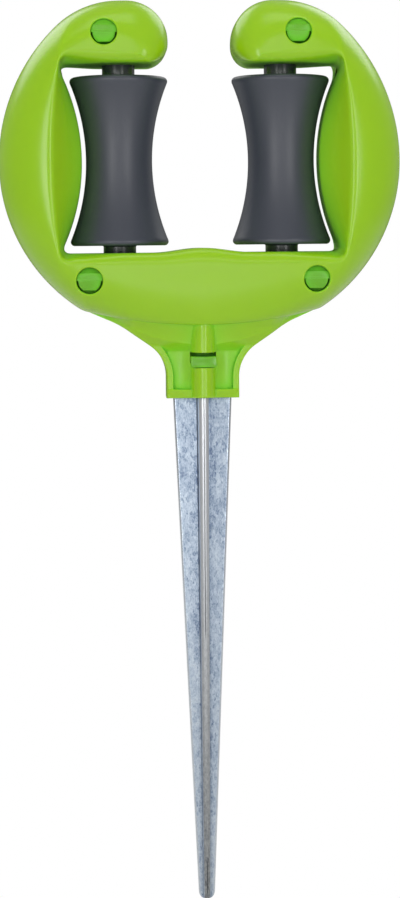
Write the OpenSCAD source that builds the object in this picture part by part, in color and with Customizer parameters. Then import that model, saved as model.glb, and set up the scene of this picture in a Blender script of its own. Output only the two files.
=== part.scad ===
// Hose guide stake: a horseshoe head of two snapped shells on a pressed steel stake,
// with two hourglass rollers that turn in the head. +Z is up, the front faces -Y, and the
// origin lies on the stake's axis at the socket's lower rim, where the ground comes to.

/* [Rollers] */
// Clear gap between the two rollers at their waists
hose_gap = 38.4; // [34:0.2:50]
// Length of a roller
roller_len = 67; // [56:0.5:80]
// Diameter of a roller at its ends
roller_end_d = 38.8; // [35:0.2:44]
// Diameter of a roller at its waist
roller_waist_d = 26.4; // [24:0.2:31]
// Rounding of a roller's rims
rim_r = 1.6; // [0.6:0.1:2.4]
// Bore of a roller's sleeve
sleeve_bore_d = 19; // [16:0.2:20]
// Diameter of the recess for a cap in a sleeve's end
cap_seat_d = 30; // [26:0.2:32]
// Depth of the recess for a cap
cap_seat_h = 4; // [3:0.1:6]
// Length of a cap's spigot in the bore
spigot_len = 9; // [5:0.5:14]
// Diameter of a cap's journal
journal_d = 13; // [10:0.1:14]
// Diameter of the collar that holds a journal in the head
collar_d = 16.6; // [15.5:0.1:18]
// Thickness of the collar
collar_t = 2; // [1.6:0.1:2.4]
// Gap between a roller and the arm above it
top_gap = 4.8; // [3:0.1:7]
// Gap between a roller and the bar below it
low_gap = 2.9; // [2:0.1:5]
// Gap between a roller and the head's side
side_gap = 1.6; // [1:0.1:3]

/* [Head] */
// Width of the head's side at a roller's waist
rail_w = 33; // [29:0.5:38]
// Height of an arm over a roller
arm_h = 25.8; // [24:0.2:30]
// Height of the lower bar on the axis, without its hump
bar_h = 29.5; // [27:0.5:34]
// Rise of the lower bar between the rollers
hump_h = 1.8; // [0.4:0.1:4]
// Gap between the arms' tips, where the hose goes in
entry_w = 25.6; // [20:0.2:30]
// Depth of the head from front to back
head_depth = 42; // [39:0.5:50]
// Radius of an arm's crown
crown_r = 36; // [32:0.5:40]
// Radius of an arm's tip above
tip_top_r = 16.6; // [13:0.2:17]
// Radius of an arm's tip below
tip_low_r = 8; // [6:0.2:8.6]
// Width over the head's two lower corners
hip_w = 95; // [86:0.5:104]
// Height of those corners over the head's lower edge
hip_rise = 6.7; // [5:0.1:9]
// Rounding of the arm's and the bar's front edges at the rollers
edge_r = 3.4; // [3:0.1:5]
// Width of the sloped face beside a roller's waist
slope_w = 12.3; // [9:0.1:15]
// Radius of the ridge along the head's side
ridge_line_r = 205; // [180:5:260]
// Fillet at the corners beside a roller
corner_r = 3; // [2:0.1:4]
// Wall of the shells
wall = 2.4; // [2:0.1:2.8]

/* [Neck] */
// Height of the head's lower edge over the ground line
neck_h = 28.7; // [27.6:0.1:34]
// Width of the socket
neck_w = 29.8; // [29:0.2:34]
// Height of the socket's straight sides
neck_straight_h = 8.6; // [6:0.1:10]
// Radius where the neck starts to flare
flare_r = 15.5; // [13:0.5:18]
// Angle at the end of that radius
flare_angle = 55; // [48:1:60]
// Width of the frame round the neck's panels
frame_w = 2.6; // [2:0.1:3.2]
// Half depth of that frame
frame_y = 8.5; // [7.6:0.1:10]
// Half depth of the recessed panels
panel_y = 6.4; // [5:0.1:7]
// Height of the rim under the panels
rim_h = 3.8; // [2.4:0.1:5]
// Height where the panels end under the head
panel_top = 19.2; // [18:0.1:21]
// Height of the steep foot of the cove over the panels
cove_h = 2; // [1:0.1:3]
// Half depth of the neck where it meets the head
cove_y = 12.4; // [11:0.1:14]
// Width of the central ridge
spine_w = 10; // [9:0.1:11]
// Half depth of the central ridge
spine_y = 17; // [16:0.1:19]

/* [Snap hooks] */
// Diameter of the round windows
window_d = 10.4; // [9:0.1:11]
// Wall round a window's bore
boss_wall = 1.9; // [1.4:0.1:2.4]
// Offset of the upper windows outwards from the roller's axis
snap_top_x = 5.8; // [3:0.1:8]
// Height of the upper windows over the arm's underside
snap_top_z = 11.9; // [11.5:0.1:13]
// Offset of the lower windows outwards from the roller's axis
snap_low_x = 12.2; // [10:0.1:13]
// Distance of the lower windows below the bar's top
snap_low_z = 10.7; // [10:0.1:12]
// Gap all round a hook
hook_gap = 0.4; // [0.2:0.05:0.6]
// Room beside a hook for its spring
hook_room = 1.2; // [0.8:0.1:1.6]
// Depth of a hook's end behind the head's front
hook_sink = 3.4; // [2:0.1:5]
// Height of a hook's catch
catch_h = 2; // [1.4:0.1:2.4]
// Thickness of a hook's nose
nose_t = 4; // [3:0.1:5]
// Width of the window in the ridge
slot_w = 10.3; // [10.1:0.1:11.4]
// Height of the window in the ridge
slot_h = 6.1; // [5:0.1:7]
// Height of that window's lower edge over the ground line
slot_z = 12.7; // [11:0.1:13]

/* [Stake] */
// Length of the stake below the socket
stake_len = 200; // [150:1:260]
// Width of the stake at the socket
stake_w = 22.8; // [18:0.2:23]
// Width of the stake at the start of its tip
tip_w = 6.4; // [5:0.1:8]
// Length of the tang in the socket
tang_len = 26; // [22:0.2:26.5]
// Thickness of the sheet
sheet_t = 1.75; // [1.2:0.05:2]
// Gap left inside the folded rib
fold_gap = 0.5; // [0.3:0.05:0.8]
// Depth of the rib from the sheet's middle at the socket
rib_y = 12; // [9:0.1:12.6]
// Depth of the rib at the start of the tip
rib_tip_y = 3.4; // [3:0.1:5]

/* [Fits] */
// Radial clearance of a journal in its bearing
journal_clear = 0.08; // [0.03:0.01:0.1]
// Clearance round a collar and along it
collar_clear = 0.3; // [0.2:0.05:0.4]
// Clearance of the tang in the socket
tang_clear = 0.2; // [0.1:0.05:0.3]

/* [Hidden] */
$fn = 96;
lime = [0.55, 0.74, 0.13];
charcoal = [0.27, 0.28, 0.31];
dark_grey = [0.17, 0.19, 0.19];
zinc = [0.68, 0.72, 0.77];
// A little more than a cut needs, so that it clears the face that it starts from
over = 1;

// Heights
bar_top = neck_h + bar_h;
roller_low = bar_top + low_gap;
roller_top = roller_low + roller_len;
waist_z = (roller_low + roller_top) / 2;
arm_low = roller_top + top_gap;
arm_top = arm_low + arm_h;

// Plan places
waist_r = roller_waist_d / 2;
end_r = roller_end_d / 2;
roller_x = hose_gap / 2 + waist_r;
inner_x = roller_x + waist_r + side_gap;
half_w = inner_x + rail_w;
head_w = 2 * half_w;
ridge_x = inner_x + slope_w;
half_depth = head_depth / 2;

// The roller's hollow outline is one arc between its rims, and the head's side follows it
rim_share = 1.4;
hollow_len = roller_len - 2 * rim_share * rim_r;
hollow_in = end_r - waist_r;
roller_arc_r = (pow(hollow_len / 2, 2) + pow(hollow_in, 2)) / (2 * hollow_in);
inner_arc_r = roller_arc_r - side_gap;
inner_arc_x = inner_x + inner_arc_r;
inner_side = function (z) [inner_arc_x - sqrt(pow(inner_arc_r, 2) - pow(z - waist_z, 2)), z];
ridge_side = function (z) [ridge_x - ridge_line_r + sqrt(pow(ridge_line_r, 2) - pow(z - waist_z, 2)), z];

// The head's side arc runs smoothly into the crown of the arm
crown_z = arm_top - crown_r;
crown_reach = half_w - crown_r;
crown_rise = crown_z - waist_z;
side_x = (pow(crown_reach, 2) - pow(roller_x, 2) - pow(crown_rise, 2)) / (2 * (crown_reach - roller_x));
crown_end = atan2(crown_rise, roller_x - side_x);
corner_span = 15;
crown_turn = crown_end + corner_span;

// The side's lower arc runs down to the lower corners, and the lower edge is a flat arc between them
hip_x = hip_w / 2;
hip_z = neck_h + hip_rise;
hip_in = half_w - hip_x;
low_side_r = (pow(hip_in, 2) + pow(waist_z - hip_z, 2)) / (2 * hip_in);
low_side_x = half_w - low_side_r;
hip_angle = -acos((hip_x - low_side_x) / low_side_r);
hip_turn = hip_angle + corner_span;
low_edge_r = (pow(hip_x, 2) + pow(hip_rise, 2)) / (2 * hip_rise);
function low_edge(x) = [x, neck_h + low_edge_r - sqrt(pow(low_edge_r, 2) - pow(x, 2))];

// The hump of the lower bar lies between the rollers' inner sides
function hump(x) = abs(x) < hose_gap / 2 ? hump_h * (1 + cos(360 * x / hose_gap)) / 2 : 0;

// Steps along each stretch of half the head, from the arm's tip to the axis
n_low = 4;
n_tip = 6;
n_crown = 6;
n_turn = 4;
n_side = 7;
n_bar = 8;
n_arm = n_low + n_tip + n_crown;
ends = [0, n_low, n_low + n_tip, n_arm, n_arm + n_turn, n_arm + n_turn + n_side,
    n_arm + n_turn + 2 * n_side, n_arm + 2 * n_turn + 2 * n_side, n_arm + 2 * n_turn + 2 * n_side + n_bar];
last = ends[8];

// Stretches leave out their first point, which the stretch before them holds
function arc(c, r, a0, a1, n) =
    [for (k = [1:n]) let (a = a0 + (a1 - a0) * k / n) [c[0] + r * cos(a), c[1] + r * sin(a)]];
function bend(a, v, b, n) =
    [for (k = [1:n]) let (t = k / n) (1 - t) * (1 - t) * a + 2 * t * (1 - t) * v + t * t * b];

// Outer outline of half the head
tip_x = entry_w / 2 + tip_low_r;
outer_line = concat(
    [[tip_x, arm_low]],
    arc([tip_x, arm_low + tip_low_r], tip_low_r, 270, 180, n_low),
    arc([entry_w / 2 + tip_top_r, arm_top - tip_top_r], tip_top_r, 180, 90, n_tip),
    arc([roller_x, crown_z], crown_r, 90, crown_turn, n_crown),
    arc([roller_x, crown_z], crown_r, crown_turn, crown_end, n_turn),
    arc([side_x, waist_z], half_w - side_x, crown_end, 0, n_side),
    arc([low_side_x, waist_z], low_side_r, 0, hip_turn, n_side),
    arc([low_side_x, waist_z], low_side_r, hip_turn, hip_angle, n_turn),
    [for (k = [1:n_bar]) low_edge(hip_x * (1 - k / n_bar))]);

// A line round the opening beside a roller, along the arm, down the head's side and along the bar
function opening_line(side, high, low, start, lift) =
    let (a = [side(high)[0] - corner_r, high])
    let (b = side(high - corner_r))
    let (d = side(low + corner_r))
    let (e = [side(low)[0] - corner_r, low])
    concat(
        [for (k = [0:n_arm]) [start + (a[0] - start) * k / n_arm, high]],
        bend(a, side(high), b, n_turn),
        [for (k = [1:n_side]) side(b[1] + (waist_z - b[1]) * k / n_side)],
        [for (k = [1:n_side]) side(waist_z + (d[1] - waist_z) * k / n_side)],
        bend(d, side(low), e, n_turn),
        [for (k = [1:n_bar]) let (x = e[0] * (1 - k / n_bar)) [x, low + lift * hump(x)]]);

// Inner outline, and the ridge where the outer face meets the face towards the roller
inner_line = opening_line(inner_side, arm_low, bar_top, tip_x, 1);
ridge_line = opening_line(ridge_side, arm_low + edge_r, bar_top - edge_r, tip_x + edge_r, 0.5);

// How a cross section rises from an outline: share of the depth that is a straight wall,
// and share of the way to the ridge that is round, at the ends of the stretches
function keyed(k, values) = lookup(k, [for (j = [0:8]) [ends[j], values[j]]]);
function outer_wall(k) = keyed(k, [0.84, 0.5, 0.2, 0.08, 0.05, 0.05, 0.05, 0.05, 0.8]);
function outer_round(k) = keyed(k, [0.9, 0.6, 0.66, 0.82, 0.92, 0.95, 0.95, 0.93, 0.75]);
function inner_wall(k) = keyed(k, [0.84, 0.84, 0.84, 0.84, 0.06, 0.06, 0.06, 0.84, 0.84]);
function inner_bulge(k) = keyed(k, [1, 1, 1, 1, 0.3, 0.05, 0.3, 1, 1]);

// One side of a cross section, from the outline p up to just below the ridge t.
// It starts a little behind the parting plane, which cuts it off.
n_rise = 5;
crest = 0.98;
inner_round = 0.95;
function rise(p, t, depth, low, wide, bulge) =
    let (e = t - p)
    concat([[p[0], over, p[1]]], [for (k = [0:n_rise])
        let (s = k / n_rise)
        let (across = wide * ((1 - bulge) * s + bulge * (1 - cos(90 * s))))
        let (up = low + (crest - low) * ((1 - bulge) * s + bulge * sin(90 * s)))
        [p[0] + e[0] * across, -depth * up, p[1] + e[1] * across]]);
function unit(v) = v / norm(v);
function section(k, inset) =
    let (t = ridge_line[k])
    let (o = outer_line[k] + inset * unit(t - outer_line[k]))
    let (i = inner_line[k] + inset * unit(t - inner_line[k]))
    let (depth = half_depth - inset)
    let (inner = rise(i, t, depth, inner_wall(k), inner_round, inner_bulge(k)))
    concat(rise(o, t, depth, outer_wall(k), outer_round(k), 1), [[t[0], -depth, t[1]]],
        [for (j = [len(inner) - 1:-1:0]) inner[j]]);
function flip(points) = [for (p = points) [-p[0], p[1], p[2]]];

// Solid of the front of the head, or of the room inside it when it is inset.
// The two ends are sharp, so their last points are the ones they began with.
module half_head(inset, step) {
    right = [for (k = [0:step:last]) section(k, inset)];
    rows = concat(right, [for (k = [len(right) - 2:-1:0]) flip(right[k])]);
    n = len(rows[0]);
    top = len(rows) - 1;
    function at(i, j) = (i == 0 || i == top) && j > n / 2 ? i * n + n - 1 - j : i * n + j % n;
    quads = [for (i = [0:top - 1]) for (j = [0:n - 1])
        [at(i, j), at(i, (j + 1) % n), at(i + 1, (j + 1) % n), at(i + 1, j)]];
    halves = [for (q = quads) each [[q[0], q[2], q[1]], [q[0], q[3], q[2]]]];
    faces = [for (f = halves) if (f[0] != f[1] && f[1] != f[2] && f[0] != f[2]) f];
    polyhedron([for (r = rows) each r], faces);
}

// Side of the neck, from the ground line to where it meets the head's lower edge
flare_turn = 80;
flare_run = 10.5;
flare_wide_r = 38;
n_flare = 7;
function neck_side(inset) =
    let (w = neck_w / 2 - inset)
    let (r = flare_r + inset)
    let (p = [w + r * (1 - cos(flare_angle)), neck_straight_h + r * sin(flare_angle)])
    let (q = p + flare_run * [sin(flare_angle), cos(flare_angle)])
    let (c = q + (flare_wide_r + inset) * [cos(flare_angle), -sin(flare_angle)])
    concat([[w, 0]], arc([w + r, neck_straight_h], r, 180, 180 - flare_angle, n_flare),
        arc(c, flare_wide_r + inset, 180 - flare_angle, 180 - flare_turn, n_flare));
function both_sides(points) =
    concat(points, [for (k = [len(points) - 1:-1:0]) [-points[k][0], points[k][1]]]);
neck_top = neck_h + wall;

// Extrudes an outline in the X-Z plane forwards, between two depths
module forwards(y0, y1) translate([0, -y0, 0]) rotate([90, 0, 0]) linear_extrude(y1 - y0) children();

module neck_outline(inset) {
    side = neck_side(inset);
    polygon(both_sides(concat(side, [[side[len(side) - 1][0], hip_z]])));
}

// The central ridge has a half-round nose
n_spine = 12;
spine_r = spine_w / 2;
spine_nose = [for (k = [0:n_spine]) let (a = 180 * k / n_spine)
    [-spine_r * cos(a), spine_r - spine_y - spine_r * sin(a)]];
module rim_plan() polygon(concat([[-neck_w / 2, 0], [-neck_w / 2, -frame_y]], spine_nose,
    [[neck_w / 2, -frame_y], [neck_w / 2, 0]]));
module spine_plan() polygon(concat([[-spine_r, 0]], spine_nose, [[spine_r, 0]]));
// The frame fades into the head's lower corners
module neck_plan() polygon(both_sides([[hip_x, 0], [hip_x, -wall], [neck_w, -frame_y], [neck_w, -spine_y]]));
module half_neck() {
    intersection() {
        difference() {
            forwards(0, frame_y) neck_outline(0);
            intersection() {
                forwards(panel_y, frame_y + over) neck_outline(frame_w);
                translate([-half_w, -2 * spine_y, rim_h]) cube([head_w, 2 * spine_y, hip_z]);
            }
        }
        linear_extrude(hip_z) neck_plan();
    }
    intersection() {
        forwards(0, spine_y) neck_outline(frame_w);
        rotate([90, 0, 90]) translate([0, 0, -neck_w]) linear_extrude(2 * neck_w) polygon([[0, panel_top],
            [-panel_y, panel_top], [-frame_y, panel_top + cove_h], [-cove_y, neck_h], [-cove_y, neck_top],
            [0, neck_top]]);
    }
    linear_extrude(rim_h) rim_plan();
    linear_extrude(neck_top) spine_plan();
}

// Front half of the head and the neck, up to the parting plane
module front_half() {
    difference() {
        half_head(0, 1);
        translate([-head_w, 0, 0]) cube([2 * head_w, head_depth, 2 * arm_top]);
    }
    half_neck();
}

// Places on the head
snap_places = [[roller_x + snap_top_x, arm_low + snap_top_z], [roller_x + snap_low_x, bar_top - snap_low_z]];
collar_top = arm_low + wall + collar_clear;
collar_low = bar_top - wall - collar_clear;
module left_and_right() for (s = [0, 1]) mirror([s, 0, 0]) children();
module at_snaps() left_and_right() for (p = snap_places) translate([p[0], 0, p[1]]) children();
module y_rod(d, y0, y1) translate([0, y1, 0]) rotate([90, 0, 0]) cylinder(d = d, h = y1 - y0);

// Blocks that carry the journals, and the room in them
pocket_d = collar_d + 2 * collar_clear;
pocket_h = collar_t + 2 * collar_clear;
block_w = pocket_d + 2 * boss_wall;
block_h = wall + pocket_h + boss_wall;
module bearing_blocks() left_and_right() {
    for (z = [arm_low, bar_top - block_h])
        translate([roller_x - block_w / 2, -head_depth, z]) cube([block_w, 2 * head_depth, block_h]);
}
module bearing_room() left_and_right() translate([roller_x, 0, 0]) {
    bore_d = journal_d + 2 * journal_clear;
    translate([0, 0, arm_low - over]) cylinder(d = bore_d, h = wall + 2 * over);
    translate([0, 0, arm_low + wall]) cylinder(d = pocket_d, h = pocket_h);
    translate([0, 0, bar_top - wall - over]) cylinder(d = bore_d, h = wall + 2 * over);
    translate([0, 0, bar_top - wall - pocket_h]) cylinder(d = pocket_d, h = pocket_h);
}

// Room for the tang in both shells: a slot for the wings, one for the rib, and the bends between them
rib_half = sheet_t + fold_gap / 2;
sheet_half = sheet_t / 2;
module tang_room() translate([0, 0, -over]) linear_extrude(tang_len + tang_clear + over) {
    rib_x = rib_half + tang_clear;
    sheet_y = sheet_half + tang_clear;
    wing_x = stake_w / 2 + tang_clear;
    polygon(both_sides([[rib_x, -rib_y - tang_clear], [rib_x, -sheet_y - sheet_half],
        [rib_x + sheet_half, -sheet_y], [wing_x, -sheet_y], [wing_x, sheet_y]]));
}

// The hooks: a stem that springs down and a nose with a ramp, which sits before a ledge
hook_r = window_d / 2 - hook_gap;
hook_tip = 1;
hook_end = half_depth - hook_sink;
ledge_z = hook_r - catch_h;
ledge_y = hook_end - nose_t;
module snap_ledges() at_snaps() intersection() {
    y_rod(window_d, -ledge_y, 0);
    translate([-window_d, -half_depth, ledge_z]) cube([2 * window_d, half_depth, window_d]);
}
module hook_stem() intersection() {
    y_rod(2 * hook_r, -hook_end, over);
    forwards(-over, hook_end) polygon([[-hook_r, ledge_z - hook_gap], [-hook_r, -hook_r / 4],
        [-hook_r / 2, hook_room - hook_r], [hook_r / 2, hook_room - hook_r], [hook_r, -hook_r / 4],
        [hook_r, ledge_z - hook_gap]]);
}
module hook_nose() intersection() {
    y_rod(2 * hook_r, -hook_end, 0);
    rotate([90, 0, 90]) translate([0, 0, -hook_r]) linear_extrude(2 * hook_r)
        polygon([[-hook_end, 0], [-hook_end, ledge_z - hook_gap - hook_tip],
            [-ledge_y - hook_gap - hook_tip, hook_r],
            [-ledge_y - hook_gap, hook_r], [-ledge_y - hook_gap, 0]]);
}

// The neck's hook goes through the stake and drops before a ledge in the ridge's window
neck_hook_w = slot_w - 2 * hook_gap;
neck_ledge_z = slot_z + catch_h - hook_gap;
neck_hook_top = slot_z + slot_h - hook_room;
neck_hook_end = spine_y - hook_sink / 2;
neck_ledge_y = neck_hook_end - nose_t;
module neck_window() translate([-slot_w / 2, -spine_y - over, slot_z]) {
    cube([slot_w, spine_y + over - neck_ledge_y, slot_h]);
    translate([0, 0, neck_ledge_z - slot_z]) cube([slot_w, 2 * spine_y, slot_z + slot_h - neck_ledge_z]);
}
module neck_hook() {
    stem_z = neck_ledge_z + hook_gap;
    translate([-neck_hook_w / 2, -neck_hook_end, stem_z])
        cube([neck_hook_w, neck_hook_end + frame_y, neck_hook_top - stem_z]);
    translate([-neck_hook_w / 2, -neck_hook_end, slot_z + hook_gap / 2])
        cube([neck_hook_w, nose_t - hook_gap, neck_hook_top - slot_z - hook_gap / 2]);
}

module front_shell() color(lime) difference() {
    front_half();
    difference() {
        half_head(wall, 2);
        at_snaps() y_rod(window_d + 2 * boss_wall, -head_depth, 0);
        bearing_blocks();
    }
    difference() {
        at_snaps() y_rod(window_d, -head_depth, over);
        snap_ledges();
    }
    bearing_room();
    tang_room();
    neck_window();
}

module rear_shell() color(lime) {
    difference() {
        mirror([0, 1, 0]) front_half();
        difference() {
            mirror([0, 1, 0]) half_head(wall, 2);
            at_snaps() y_rod(2 * hook_r, 0, head_depth);
            bearing_blocks();
        }
        bearing_room();
        tang_room();
    }
    at_snaps() {
        hook_stem();
        hook_nose();
    }
    neck_hook();
}

// Cross section of the folded sheet: two wings, a hollow rib, and a slit where the fold closes.
// Each row pairs a point of the front with one of the back, from the middle to a wing's edge.
edge = sheet_t / 4;
n_nose = 3;
function half_sheet(w, rib, share) =
    let (b = rib_half * share)
    let (slit = fold_gap / 2 * share)
    let (slit_end = sheet_t * share - rib)
    let (slit_step = (sheet_half - edge - slit_end) / n_nose)
    concat(
        [for (k = [0:n_nose]) let (a = 90 * k / n_nose)
            [[b * sin(a), b * (1 - cos(a)) - rib], [k > 0 ? slit : 0, slit_end + slit_step * max(k - 1, 0)]]],
        [[[b, -sheet_half * (1 + share)], [slit, sheet_half - edge]],
        [[b + sheet_half * share, -sheet_half], [slit + edge, sheet_half]],
        [[w - edge, -sheet_half], [w - edge, sheet_half]],
        [[w, edge - sheet_half], [w, sheet_half - edge]]]);
function sheet_section(z, w, rib, share) =
    let (right = half_sheet(w, rib, share))
    let (m = len(right) - 1)
    let (front = concat([for (k = [m:-1:1]) [-right[k][0][0], right[k][0][1]]], [for (p = right) p[0]]))
    let (back = concat([for (k = [m:-1:1]) right[k][1]], [for (p = right) [-p[1][0], p[1][1]]]))
    [for (p = concat(front, back)) [p[0], p[1], z]];

// The stake narrows evenly from the socket, then rounds off over its tip
tip_start = tip_w / 2 - stake_len;
rib_tip_share = 0.7;
n_point = 4;
point_angle = 75;
tip_rows = [for (k = [0:n_point]) let (a = point_angle * k / n_point)
    [tip_start - tip_w / 2 * sin(a), cos(a)]];
module stake() color(zinc) difference() {
    rows = concat([for (z = [tang_len, 0]) sheet_section(z, stake_w / 2, rib_y, 1)],
        [for (r = tip_rows) sheet_section(r[0], tip_w / 2 * r[1] + rib_tip_share * sheet_t * (1 - r[1]),
            rib_tip_y * (1 + r[1]) / 2, rib_tip_share * (1 + r[1]) / 2)]);
    n = len(rows[0]);
    top = len(rows) - 1;
    sides = [for (i = [0:top - 1]) for (j = [0:n - 1])
        [i * n + j, i * n + (j + 1) % n, (i + 1) * n + (j + 1) % n, (i + 1) * n + j]];
    start = [for (j = [0:n / 2 - 2]) [n - 1 - j, n - 2 - j, j + 1, j]];
    tip = [for (q = start) [for (k = [3:-1:0]) q[k] + top * n]];
    quads = concat(sides, start, tip);
    polyhedron([for (r = rows) each r], [for (q = quads) each [[q[0], q[1], q[2]], [q[0], q[2], q[3]]]]);
    translate([-slot_w / 2, -spine_y, slot_z - hook_gap]) cube([slot_w, 2 * spine_y, slot_h + hook_gap]);
}

// Half outline of a sleeve: its bore, its rims and its hollow side
n_hollow = 24;
n_rim = 5;
rim_start = 10;
rim_angle = asin(hollow_len / 2 / roller_arc_r);
rim_x = end_r - rim_r * cos(rim_angle);
rim_z = roller_len / 2 - rim_r;
sleeve_side = [for (k = [0:n_hollow]) let (z = hollow_len * (k / n_hollow - 1 / 2))
    [waist_r + roller_arc_r - sqrt(pow(roller_arc_r, 2) - pow(z, 2)), z]];
module sleeve() color(charcoal) translate([0, 0, waist_z]) rotate_extrude() polygon(concat(
    [[sleeve_bore_d / 2, -roller_len / 2 + cap_seat_h], [cap_seat_d / 2, -roller_len / 2 + cap_seat_h]],
    [[cap_seat_d / 2, -roller_len / 2], [rim_x, -roller_len / 2]],
    arc([rim_x, -rim_z], rim_r, 270, 360 - rim_start + rim_angle, n_rim),
    sleeve_side,
    arc([rim_x, rim_z], rim_r, rim_start - rim_angle, 90, n_rim),
    [[cap_seat_d / 2, roller_len / 2], [cap_seat_d / 2, roller_len / 2 - cap_seat_h]],
    [[sleeve_bore_d / 2, roller_len / 2 - cap_seat_h]]));

// A cap stands on a roller's end: spigot and disc in the sleeve, then the journal and its collar
module cap(reach) color(dark_grey) rotate_extrude() polygon([
    [0, -cap_seat_h - spigot_len], [sleeve_bore_d / 2 - edge, -cap_seat_h - spigot_len],
    [sleeve_bore_d / 2, edge - cap_seat_h - spigot_len], [sleeve_bore_d / 2, -cap_seat_h],
    [cap_seat_d / 2, -cap_seat_h], [cap_seat_d / 2, 0], [journal_d / 2, 0], [journal_d / 2, reach],
    [collar_d / 2, reach], [collar_d / 2, reach + collar_t], [0, reach + collar_t]]);
module top_cap() translate([0, 0, roller_top]) cap(collar_top - roller_top);
module bottom_cap() translate([0, 0, roller_low]) mirror([0, 0, 1]) cap(roller_low - collar_low);

module left_roller_sleeve() translate([-roller_x, 0, 0]) sleeve();
module left_roller_top_cap() translate([-roller_x, 0, 0]) top_cap();
module left_roller_bottom_cap() translate([-roller_x, 0, 0]) bottom_cap();
module right_roller_sleeve() translate([roller_x, 0, 0]) sleeve();
module right_roller_top_cap() translate([roller_x, 0, 0]) top_cap();
module right_roller_bottom_cap() translate([roller_x, 0, 0]) bottom_cap();

front_shell();
rear_shell();
stake();
left_roller_sleeve();
left_roller_top_cap();
left_roller_bottom_cap();
right_roller_sleeve();
right_roller_top_cap();
right_roller_bottom_cap();
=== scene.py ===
import math
from bisect import bisect_right

import bmesh
import bpy
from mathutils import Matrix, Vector
from mathutils.bvhtree import BVHTree


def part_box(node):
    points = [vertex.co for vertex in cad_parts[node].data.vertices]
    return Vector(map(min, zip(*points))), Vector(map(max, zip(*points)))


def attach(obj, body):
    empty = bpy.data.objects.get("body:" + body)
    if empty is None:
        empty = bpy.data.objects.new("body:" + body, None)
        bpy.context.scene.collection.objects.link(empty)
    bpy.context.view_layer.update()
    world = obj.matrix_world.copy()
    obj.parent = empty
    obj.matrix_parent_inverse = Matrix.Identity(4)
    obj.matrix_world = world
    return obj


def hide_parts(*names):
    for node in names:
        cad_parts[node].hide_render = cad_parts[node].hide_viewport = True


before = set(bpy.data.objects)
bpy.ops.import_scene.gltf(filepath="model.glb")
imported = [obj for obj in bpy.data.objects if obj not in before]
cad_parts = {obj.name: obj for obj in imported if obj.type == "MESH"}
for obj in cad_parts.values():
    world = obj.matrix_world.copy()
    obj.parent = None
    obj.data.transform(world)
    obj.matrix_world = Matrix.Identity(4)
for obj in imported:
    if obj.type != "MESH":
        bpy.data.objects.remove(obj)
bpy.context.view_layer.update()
mm = 0.001  # shapes below are in millimetres, meshes in metres


def boxOf(node):
    low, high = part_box(node)
    return Vector(low) / mm, Vector(high) / mm


def mix(a, b, share):
    return a + (b - a) * share


def clamp(value, low=0.0, high=1.0):
    return max(low, min(high, value))


def smoothStep(low, high, value):
    share = clamp((value - low) / (high - low))
    return share * share * (3 - 2 * share)


def softMax(a, b, soften):
    share = clamp(0.5 + 0.5 * (a - b) / soften)
    return mix(b, a, share) + soften * share * (1 - share)


# Meshes

def makePiece(name, points, faces):
    mesh = bpy.data.meshes.new(name)
    mesh.from_pydata([Vector(p) * mm for p in points], [], faces)
    work = bmesh.new()
    work.from_mesh(mesh)
    loose = [v for v in work.verts if not v.link_faces]
    bmesh.ops.delete(work, geom=loose, context="VERTS")
    bmesh.ops.recalc_face_normals(work, faces=work.faces)
    work.to_mesh(mesh)
    work.free()
    piece = bpy.data.objects.new(name, mesh)
    bpy.context.scene.collection.objects.link(piece)
    return piece


def bakeModifiers(piece):
    graph = bpy.context.evaluated_depsgraph_get()
    mesh = bpy.data.meshes.new_from_object(piece.evaluated_get(graph))
    piece.modifiers.clear()
    piece.data = mesh


def carve(piece, tool, operation):
    cut = piece.modifiers.new("carve", "BOOLEAN")
    cut.operation = operation
    cut.solver = "MANIFOLD"
    cut.object = tool
    bakeModifiers(piece)
    bpy.data.objects.remove(tool)
    return piece


def softenEdges(piece, width, angle=40):
    bevel = piece.modifiers.new("soften", "BEVEL")
    bevel.width = width * mm
    bevel.segments = 2
    bevel.limit_method = "ANGLE"
    bevel.angle_limit = math.radians(angle)
    bakeModifiers(piece)
    return piece


def shadeSmooth(piece, angle):
    piece.data.shade_smooth()
    piece.data.set_sharp_from_angle(angle=math.radians(angle))


def mirrorDepth(piece):
    for vertex in piece.data.vertices:
        vertex.co.y = -vertex.co.y
    piece.data.flip_normals()


# A closed skin over rows of points, each row a closed loop
def skinRows(name, rows, pinched=False, capped=False):
    count, last = len(rows[0]), len(rows) - 1

    def at(i, j):
        j %= count
        if pinched and i in (0, last) and j > count // 2:
            j = count - 1 - j
        return i * count + j

    faces = []
    for i in range(last):
        for j in range(count):
            quad = dict.fromkeys([at(i, j), at(i, j + 1), at(i + 1, j + 1), at(i + 1, j)])
            if len(quad) > 2:
                faces.append(list(quad))
    if capped:
        faces.append(list(range(count)))
        faces.append([last * count + j for j in range(count)])
    return makePiece(name, [p for row in rows for p in row], faces)


# A lathe round an upright axis: the profile is (radius, height), its ends may lie on the axis
def turn(name, profile, place, segments=128, closed=False):
    points, rings = [], []
    for radius, height in profile:
        if radius < 1e-6:
            rings.append([len(points)] * segments)
            points.append((place[0], place[1], place[2] + height))
            continue
        rings.append([len(points) + k for k in range(segments)])
        for k in range(segments):
            angle = 2 * math.pi * k / segments
            points.append((place[0] + radius * math.cos(angle), place[1] + radius * math.sin(angle),
                           place[2] + height))
    pairs = list(zip(rings, rings[1:]))
    if closed:
        pairs.append((rings[-1], rings[0]))
    faces = []
    for lower, upper in pairs:
        for k in range(segments):
            n = (k + 1) % segments
            face = list(dict.fromkeys([lower[k], lower[n], upper[n], upper[k]]))
            if len(face) > 2:
                faces.append(face)
    return makePiece(name, points, faces)


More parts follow.
